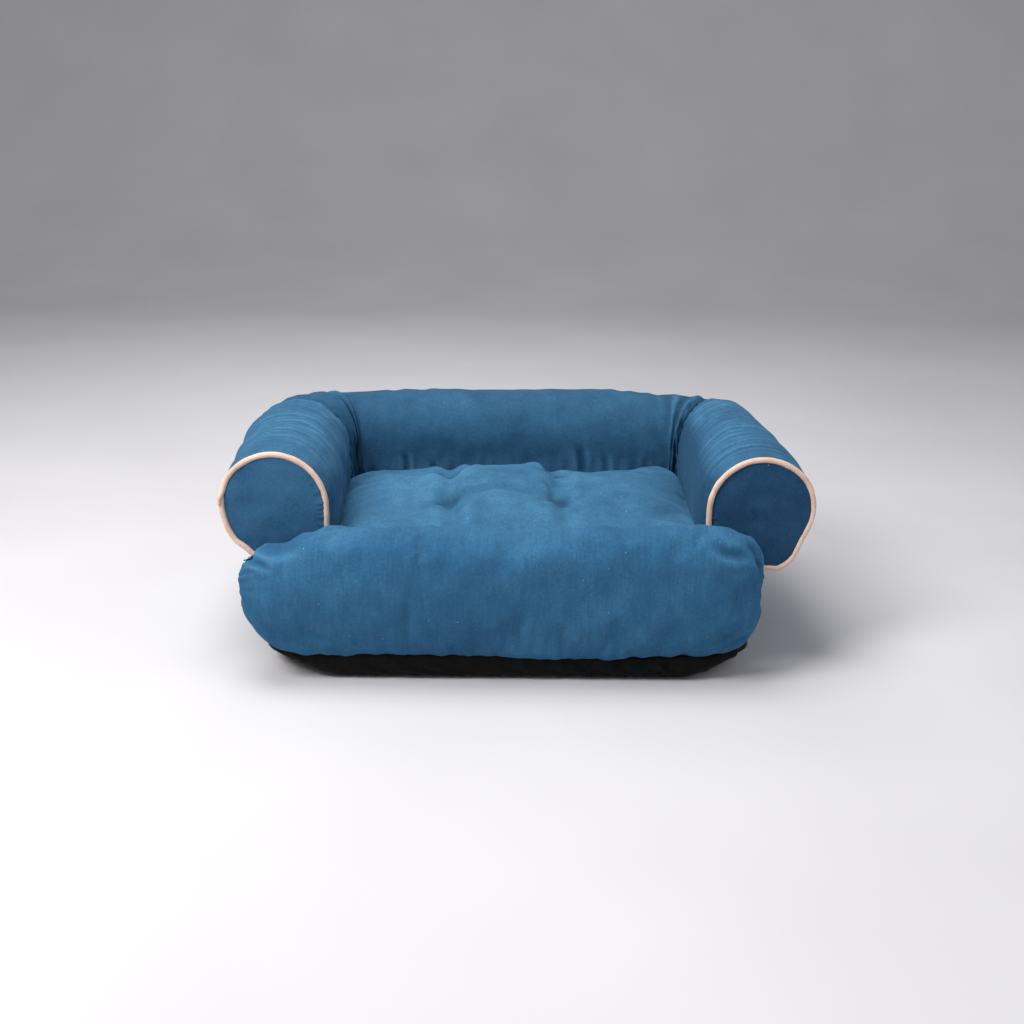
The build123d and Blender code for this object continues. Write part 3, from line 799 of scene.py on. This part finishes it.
def piping(side, name, *nodes):
    """Corded piping round the arm's end, with a pinched corner at its outer foot.

    The left one's two ends lap over each other on its outer side.
    """
    outline = cap_outline(side, 300, 0.0022)
    centre = outline.mean(axis=0)
    inner = centre + (outline - centre) * (1 - 0.0037 / 0.060)
    lapped = side < 0
    start = int(np.argmin(np.hypot(inner[:, 0] + 0.30, inner[:, 1] - 0.180))) if lapped else 60
    inner = np.roll(inner, -start, axis=0)
    ring = np.vstack([inner, inner[:10]]) if lapped else np.vstack([inner, inner[:1]])
    path = np.stack([ring[:, 0], np.full(len(ring), FRONT_Y - PIPING_R * 0.72), ring[:, 1]], axis=1)
    t = np.linspace(0, 1, len(ring))
    path[:, 1] -= 0.0009 * np.sin(2 * math.pi * t + 0.6)
    path[:, 0] += 0.0005 * rolling(path[:, (0, 2)], 0.05, 85 + side)
    radius = PIPING_R * (1 + 0.04 * rolling(t[:, None] * 0.36, 0.02, 87 + side))
    if lapped:
        over = smooth_step(t, 0.955, 0.985)
        path[:, 1] -= 0.0034 * over
        path[:, 0] -= 0.0016 * over
        radius = radius * (1 - 0.45 * smooth_step(t, 0.975, 1.0)) * (1 - 0.3 * smooth_step(-t, -0.02, 0.0))
    piece = add_object(name, tube(name, path, radius), CREAM, "sofa_frame")
    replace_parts(piece, *nodes)
    return piece


for side, word in ((-1, "left"), (1, "right")):
    end_cap(side, f"{word}_arm_end", f"{word}_arm_end_cap")
    piping(side, f"{word}_arm_cord_edge", f"{word}_arm_piping", f"{word}_piping_cord")

# -------- padded blocks


def rounded_block(name, low, high, radius, step):
    """A closed block of even quads with all its edges rounded."""
    low, high = np.asarray(low, float), np.asarray(high, float)
    work = bmesh.new()
    counts = [max(int(round(s / step)), 4) for s in high - low]
    for axis in range(3):
        a, b = [k for k in range(3) if k != axis]
        for level in (0.0, 1.0):
            rows = []
            for i in range(counts[a] + 1):
                row = []
                for j in range(counts[b] + 1):
                    place = [0.0, 0.0, 0.0]
                    place[axis], place[a], place[b] = level, i / counts[a], j / counts[b]
                    row.append(work.verts.new(low + (high - low) * place))
                rows.append(row)
            for i in range(counts[a]):
                for j in range(counts[b]):
                    work.faces.new((rows[i][j], rows[i + 1][j], rows[i + 1][j + 1], rows[i][j + 1]))
    bmesh.ops.remove_doubles(work, verts=work.verts, dist=step / 20)
    bmesh.ops.recalc_face_normals(work, faces=work.faces)
    mesh = bpy.data.meshes.new(name)
    work.to_mesh(mesh)
    work.free()
    points = read_points(mesh)
    inner = np.clip(points, low + radius, high - radius)
    away = points - inner
    reach = np.linalg.norm(away, axis=1, keepdims=True)
    # the flat faces stay where they are, and the edges are drawn on to a round of that radius
    write_points(mesh, inner + away / np.maximum(reach, 1e-9) * radius)
    return mesh


def inflate(piece, pinned, pressure, frames, cap, shrink=0.0, stiff=12.0, bend=0.4):
    """Swells a closed mesh as cloth, with some points held, and keeps the result on the mesh."""
    before = read_points(piece.data).copy()
    group = piece.vertex_groups.new(name="held")
    for index in np.flatnonzero(pinned > 0.01):
        group.add([int(index)], float(pinned[index]), "REPLACE")
    cloth = piece.modifiers.new("cloth", "CLOTH")
    settings = cloth.settings
    settings.quality = 6
    settings.mass = 0.25
    settings.air_damping = 4
    settings.tension_stiffness = stiff
    settings.compression_stiffness = stiff
    settings.shear_stiffness = stiff * 0.5
    settings.bending_stiffness = bend
    settings.vertex_group_mass = "held"
    settings.use_pressure = True
    settings.uniform_pressure_force = pressure
    settings.shrink_min = shrink
    settings.effector_weights.gravity = 0
    cloth.collision_settings.use_collision = False
    cloth.point_cache.frame_start = 1
    cloth.point_cache.frame_end = frames
    for number in range(1, frames + 1):
        bpy.context.scene.frame_set(number)
    graph = bpy.context.evaluated_depsgraph_get()
    shaped = piece.evaluated_get(graph).to_mesh()
    after = read_points(shaped).copy()
    piece.evaluated_get(graph).to_mesh_clear()
    piece.modifiers.remove(cloth)
    piece.vertex_groups.clear()
    bpy.context.scene.frame_set(1)
    shift = after - before
    size = np.linalg.norm(shift, axis=1, keepdims=True)
    shift *= np.minimum(1.0, cap / np.maximum(size, 1e-9))
    write_points(piece.data, before + shift)


def subdivide(piece, levels=1):
    smooth = piece.modifiers.new("smooth", "SUBSURF")
    smooth.levels = levels
    smooth.render_levels = levels


# -------- front bolster

BOLSTER_BACK = -0.1645
BOLSTER_TOP = [(-0.2650, 0.110), (-0.2615, 0.122), (-0.2530, 0.1325), (-0.2400, 0.1375), (-0.2240, 0.1420),
               (-0.2050, 0.1530), (-0.1840, 0.1590), (-0.10, 0.1605), (0.0, 0.1605), (0.10, 0.1610),
               (0.1990, 0.1590), (0.2220, 0.1540), (0.2365, 0.1470), (0.2430, 0.1310), (0.2450, 0.110)]
BOLSTER_FOOT = [(-0.2650, 0.082), (-0.2605, 0.066), (-0.2520, 0.0495), (-0.2360, 0.0345), (-0.2090, 0.0255),
                (-0.10, 0.0225), (0.10, 0.0215), (0.1940, 0.0245), (0.2235, 0.0345), (0.2365, 0.0470),
                (0.2430, 0.064), (0.2450, 0.082)]


def eased(knots, x):
    """A smooth height through a few knots."""
    dense = np.linspace(knots[0][0], knots[-1][0], 600)
    heights = np.interp(dense, [k[0] for k in knots], [k[1] for k in knots])
    kernel = np.exp(-np.linspace(-2, 2, 25) ** 2)
    padded = np.concatenate([np.full(12, heights[0]), heights, np.full(12, heights[-1])])
    return np.interp(x, dense, np.convolve(padded, kernel / kernel.sum(), "valid"))


def bolster_points(rows, columns):
    """A long pillow: rounded in section, drawn in at both ends, and flatter at the back."""
    first, last = BOLSTER_TOP[0][0], BOLSTER_TOP[-1][0]
    t = np.linspace(0, math.pi, rows)
    even = np.linspace(0, 1, rows)
    x = first + (last - first) * (0.35 * (1 - np.cos(t)) / 2 + 0.65 * even)
    from_end = np.minimum(x - first, last - x)
    depth = 0.0130 + 0.0200 * np.sqrt(np.clip(1 - (1 - np.clip(from_end / 0.042, 0, 1)) ** 2, 0, 1))
    turn = np.linspace(0, 2 * math.pi, columns, endpoint=False)
    c, d = np.cos(turn), np.sin(turn)
    power = 2 / 2.7
    across = np.sign(c) * np.abs(c) ** power
    up = np.sign(d) * np.abs(d) ** power
    top, foot = eased(BOLSTER_TOP, x), eased(BOLSTER_FOOT, x)
    points = np.zeros((rows, columns, 3))
    points[..., 0] = x[:, None]
    points[..., 1] = BOLSTER_BACK - 0.0328 + depth[:, None] * across[None, :]
    points[..., 2] = ((top + foot) / 2)[:, None] + ((top - foot) / 2)[:, None] * up[None, :]
    return points


bolster_mesh = grid_mesh("front_bolster", bolster_points(124, 84), wrap_columns=True, close_ends=True)
front_bolster = add_object("front_bolster", bolster_mesh, FRONT_SUEDE, "sofa_frame")
start_shape = read_points(bolster_mesh)
held = smooth_step(start_shape[:, 1], -0.176, -0.168) + (start_shape[:, 2] < 0.034)
inflate(front_bolster, np.clip(held, 0, 1), 2.5, 18, 0.006, shrink=-0.03)


def crumple_bolster(mesh):
    points, normals = read_points(mesh), read_normals(mesh)
    flat = points[:, (0, 2)]
    front = smooth_step(-points[:, 1], 0.168, 0.19)
    height = 0.0016 * rolling(points, 0.10, 91) + 0.0007 * rolling(points, 0.035, 92)
    streaks = rolling(np.stack([points[:, 0], points[:, 2] * 0.18, points[:, 1]], axis=-1), 0.016, 93)
    height += 0.00035 * streaks * front
    for end in (BOLSTER_TOP[0][0], BOLSTER_TOP[-1][0]):
        around = np.arctan2(points[:, 2] - 0.094, -(points[:, 1] + 0.197)) * 0.05
        pucker = rolling(np.stack([around, points[:, 0] * 0.1], axis=-1), 0.010, 94 + int(end > 0))
        height += 0.0016 * pucker * np.exp(-np.abs(points[:, 0] - end) / 0.022)
    edge = rolling(points[:, :1], 0.022, 97)
    height += 0.0012 * edge * np.exp(-np.abs(points[:, 2] - 0.034) / 0.010)
    dart = bent((-0.266, 0.128), (-0.236, 0.1235), 0.002)
    folds = [
        (dart, 0.0060, 0.0030),
        (bent((-0.258, 0.140), (-0.205, 0.149), -0.004), 0.0022, 0.0060),
        (bent((0.232, 0.147), (0.242, 0.118), 0.002), 0.0050, 0.0032),
        (bent((0.192, 0.152), (0.228, 0.141), -0.004), 0.0026, 0.0050),
    ]
    folded, mark = crease_all(flat, folds)
    write_points(mesh, points + normals * (height + folded * front)[:, None])
    # The fold marks paint shade into the front's fold valleys and highlight on their ridges.
    mark_wear_and_painted_light(mesh, mark * front)


crumple_bolster(bolster_mesh)
subdivide(front_bolster)
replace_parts(front_bolster, "front_bolster_cover", "front_bolster_filling")


def stitches(name, mesh, ends, body, node, radius=0.0006):
    """Short thread stitches lying on a cloth's surface, each given by its two ends and the way it faces."""
    points, normals = read_points(mesh), read_normals(mesh)
    threads = []
    for start, end, facing in ends:
        path = []
        for t in np.linspace(0, 1, 7):
            spot = np.array(start) + (np.array(end) - np.array(start)) * t
            near = np.linalg.norm(points - spot, axis=1) + 0.05 * (normals @ np.array(facing) < 0.2)
            path.append(points[np.argmin(near)] + normals[np.argmin(near)] * radius * 1.4)
        path = np.array(path)
        path[1:-1] = (path[:-2] + path[1:-1] + path[2:]) / 3
        threads.append(tube(name, path, radius))
    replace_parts(add_object(name, merged(name, threads), THREAD, body), node)


FORWARD, UPWARD = (0.0, -1.0, 0.0), (0.0, 0.0, 1.0)
stitches(
    "tack_threads",
    bolster_mesh,
    [
        ((-0.262, -0.200, 0.1285), (-0.251, -0.200, 0.1260), FORWARD),
        ((-0.261, -0.200, 0.1245), (-0.252, -0.200, 0.1290), FORWARD),
        ((-0.258, -0.200, 0.1225), (-0.256, -0.200, 0.1300), FORWARD),
        ((0.240, -0.200, 0.1000), (0.2435, -0.200, 0.1060), FORWARD),
        ((0.2435, -0.200, 0.0980), (0.2405, -0.200, 0.1070), FORWARD),
    ],
    "sofa_frame",
    "corner_tacks",
)

# -------- cushion

CUSHION_LOW, CUSHION_HIGH = (-0.1850, -0.158, 0.0290), (0.1850, 0.1035, 0.1515)
TUFTS = [(-0.074, 0.036), (0.048, 0.038), (-0.072, -0.062), (0.049, -0.066)]
cushion_mesh = rounded_block("cushion_pad", CUSHION_LOW, CUSHION_HIGH, 0.038, 0.0045)


def shape_cushion(points):
    """Crowns the cushion and pulls both faces in at the tufts."""
    shaped = points.copy()
    middle = (CUSHION_LOW[2] + CUSHION_HIGH[2]) / 2
    top = smooth_step(points[:, 2], middle, CUSHION_HIGH[2] - 0.01)
    bottom = smooth_step(-points[:, 2], -middle, -CUSHION_LOW[2] - 0.01)
    for x, y in TUFTS:
        away = np.hypot(points[:, 0] - x, points[:, 1] - y)
        wide, deep = (0.024, 0.017) if y > 0 else (0.026, 0.013)
        dip = np.exp(-((away / wide) ** 2)) * 0.5 + np.exp(-away / (0.4 * wide)) * 0.5
        shaped[:, 2] -= deep * dip * top
        shaped[:, 2] += 0.004 * dip * bottom
    rear_sides = smooth_step(np.abs(points[:, 0]), 0.05, 0.12) * smooth_step(points[:, 1], -0.05, 0.05)
    shaped[:, 2] += (0.0040 + 0.0010 * smooth_step(points[:, 0], 0.0, 0.1)) * rear_sides * top
    shaped[:, 0] += (0.0045 + 0.0080 * points[:, 0] / CUSHION_HIGH[0]) * smooth_step(points[:, 2], 0.05, 0.12)
    return shaped


write_points(cushion_mesh, shape_cushion(read_points(cushion_mesh)))
cushion = add_object("cushion_pad", cushion_mesh, CUSHION_SUEDE, "cushion")
start_shape = read_points(cushion_mesh)
held = np.zeros(len(start_shape))
for x, y in TUFTS:
    held += (np.hypot(start_shape[:, 0] - x, start_shape[:, 1] - y) < 0.0052) * 1.0
held += (start_shape[:, 2] < 0.033) * 1.0
inflate(cushion, np.clip(held, 0, 1), 4.0, 20, 0.012, shrink=-0.05)


def crumple_cushion(mesh):
    points, normals = read_points(mesh), read_normals(mesh)
    top = smooth_step(points[:, 2], 0.09, 0.12)
    height = 0.0012 * rolling(points, 0.07, 101) + 0.0005 * rolling(points, 0.028, 102)
    rng = np.random.default_rng(7)
    flat = points[:, :2]
    folds = []
    for x, y in TUFTS:
        for k in range(7):
            turn = 2 * math.pi * (k + rng.uniform(-0.3, 0.3)) / 7
            length = rng.uniform(0.022, 0.048)
            start = (x + 0.004 * math.cos(turn), y + 0.004 * math.sin(turn))
            end = (x + length * math.cos(turn + 0.15), y + length * math.sin(turn + 0.15))
            folds.append((bent(start, end, rng.uniform(-0.004, 0.004)), rng.uniform(0.0014, 0.0034), 0.0042))
    rear_left, rear_right, front_left, front_right = TUFTS
    for start, end, depth in (
        (rear_left, (-0.072, 0.112), 0.0046),
        (rear_right, (0.044, 0.112), 0.0046),
        (rear_left, rear_right, 0.0030),
        (rear_left, front_left, 0.0072),
        (rear_right, front_right, 0.0060),
        (front_left, front_right, 0.0040),
        (front_left, (-0.062, -0.160), 0.0060),
        (front_right, (0.052, -0.160), 0.0040),
        (rear_left, (-0.190, 0.020), 0.0028),
        (rear_right, (0.200, 0.016), 0.0024),
    ):
        folds.append((bent(start, end, 0.003), depth, 0.0095))
    folded, mark = crease_all(flat, folds)
    moved = points + normals * (height + folded * top)[:, None]
    zip_zone = 1 - smooth_step(np.abs(moved[:, 0]), 0.140, 0.165)
    zip_zone *= 1 - smooth_step(np.abs(moved[:, 2] - 0.0888), 0.016, 0.030)
    moved[:, 1] -= zip_zone * np.maximum(0, moved[:, 1] - 0.1045)
    write_points(mesh, moved)
    # Fold marks are kept faint, and painted shade darkens each tuft's dimple.
    mark = mark * 0.25
    for x, y in TUFTS:
        mark -= 1.6 * np.exp(-((np.hypot(points[:, 0] - x, points[:, 1] - y) / 0.012) ** 2))
    mark_wear_and_painted_light(mesh, mark * top)


crumple_cushion(cushion_mesh)
subdivide(cushion)
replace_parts(cushion, "cushion_top_panel", "cushion_bottom_panel", "cushion_filling")
ties = []
for x, y in TUFTS:
    for turn in (0.4, 1.9):
        reach = np.array((0.0042 * math.cos(turn), 0.0042 * math.sin(turn)))
        ties.append(((x - reach[0], y - reach[1], 0.122), (x + reach[0], y + reach[1], 0.122), UPWARD))
stitches("tuft_threads", cushion_mesh, ties, "cushion", "tuft_ties")

# -------- base

BASE_RIM = [(0.0, 0.0290), (0.0, 0.0245)]
RIM_TURN = np.radians(np.linspace(90, 0, 10))
BASE_RIM += [(0.02 - 0.02 * math.sin(a), 0.02 - 0.02 * math.cos(a)) for a in RIM_TURN]
BASE_RIM += [(0.05, 0.0), (0.10, 0.0), (0.15, 0.0)]


def base_outline(inset, count=360):
    """The base's footprint, evenly spaced, starting at the middle of the front."""
    left, right, front, back = -0.2550 + inset, 0.2440 - inset, -0.214 + inset, 0.170 - inset
    front_r, back_r = 0.062 - 0.4 * inset, 0.066 - 0.4 * inset
    corners = []
    for cx, cy, radius, turn in (
        (right - front_r, front + front_r, front_r, -90),
        (right - back_r, back - back_r, back_r, 0),
        (left + back_r, back - back_r, back_r, 90),
        (left + front_r, front + front_r, front_r, 180),
    ):
        for a in np.radians(np.linspace(turn, turn + 90, 20)):
            corners.append((cx + radius * math.cos(a), cy + radius * math.sin(a)))
    return softened(corners, 0.003, count)


def base_skin():
    """The black cloth base: a soft rim with small folds, turned up at the front corners, flat below."""
    rows = []
    for inset, height in BASE_RIM:
        outline, length = base_outline(inset)
        run = np.arange(len(outline)) / len(outline) * length
        swell = 0.0016 * rolling(run[:, None], 0.030, 111) + 0.0009 * rolling(run[:, None], 0.011, 112)
        away = outline - outline.mean(axis=0)
        away /= np.linalg.norm(away, axis=1, keepdims=True)
        points = np.zeros((len(outline), 3))
        points[:, :2] = outline + away * (swell * (inset < 0.012))[:, None]
        raised = 0.016 * smooth_step(np.abs(outline[:, 0]), 0.170, 0.235)
        raised *= smooth_step(-outline[:, 1], 0.10, 0.2)
        points[:, 2] = height + raised * (1 - height / 0.03) * (inset < 0.03)
        rows.append(points)
    mesh = grid_mesh("base_skin", np.array(rows), wrap_columns=True, close_ends=True)
    piece = add_object("base_skin", mesh, BLACK, "sofa_frame")
    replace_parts(piece, "base_band", "base_bottom_panel", "base_wadding")


base_skin()

# -------- finishes on the kept CAD pieces

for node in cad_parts:
    material = None
    if "zip_tape" in node:
        material = TAPE
    elif "zip_teeth" in node or "zip_stops" in node:
        material = NYLON
    elif "zip_slider" in node or "zip_pull" in node:
        material = ENAMEL
    elif "filling" in node or "wadding" in node or "piping_cord" in node:
        material = WHITE_FILL
    elif "foam" in node:
        material = FOAM
    elif "deck" in node:
        material = BLACK
    elif "tacks" in node or "ties" in node:
        material = THREAD
    if material is not None:
        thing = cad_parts[node]
        thing.data.materials.clear()
        thing.data.materials.append(material)

# -------- floor

sweep_line = [(-6.0, 0.0), (2.4, 0.0)]
sweep_line += [(2.4 + 1.6 * math.sin(a), 1.6 - 1.6 * math.cos(a)) for a in np.radians(np.arange(6, 90, 6))]
sweep_line += [(4.0, 1.6), (4.0, 6.0)]
floor_mesh = grid_mesh("floor", np.array([[(x, y, z) for x in (-7.0, 7.0)] for y, z in sweep_line]))
for polygon in floor_mesh.polygons:
    polygon.use_smooth = True
floor = bpy.data.objects.new("floor", floor_mesh)
bpy.context.collection.objects.link(floor)
paint = Shader("pale_floor")
floor_tone = paint.ramp(paint.noise(3, 2), [(0.3, (0.62, 0.61, 0.63, 1)), (0.7, (0.66, 0.65, 0.67, 1))])
floor_mesh.materials.append(paint.finish(floor_tone, 0.9, Specular_IOR_Level=0.1))
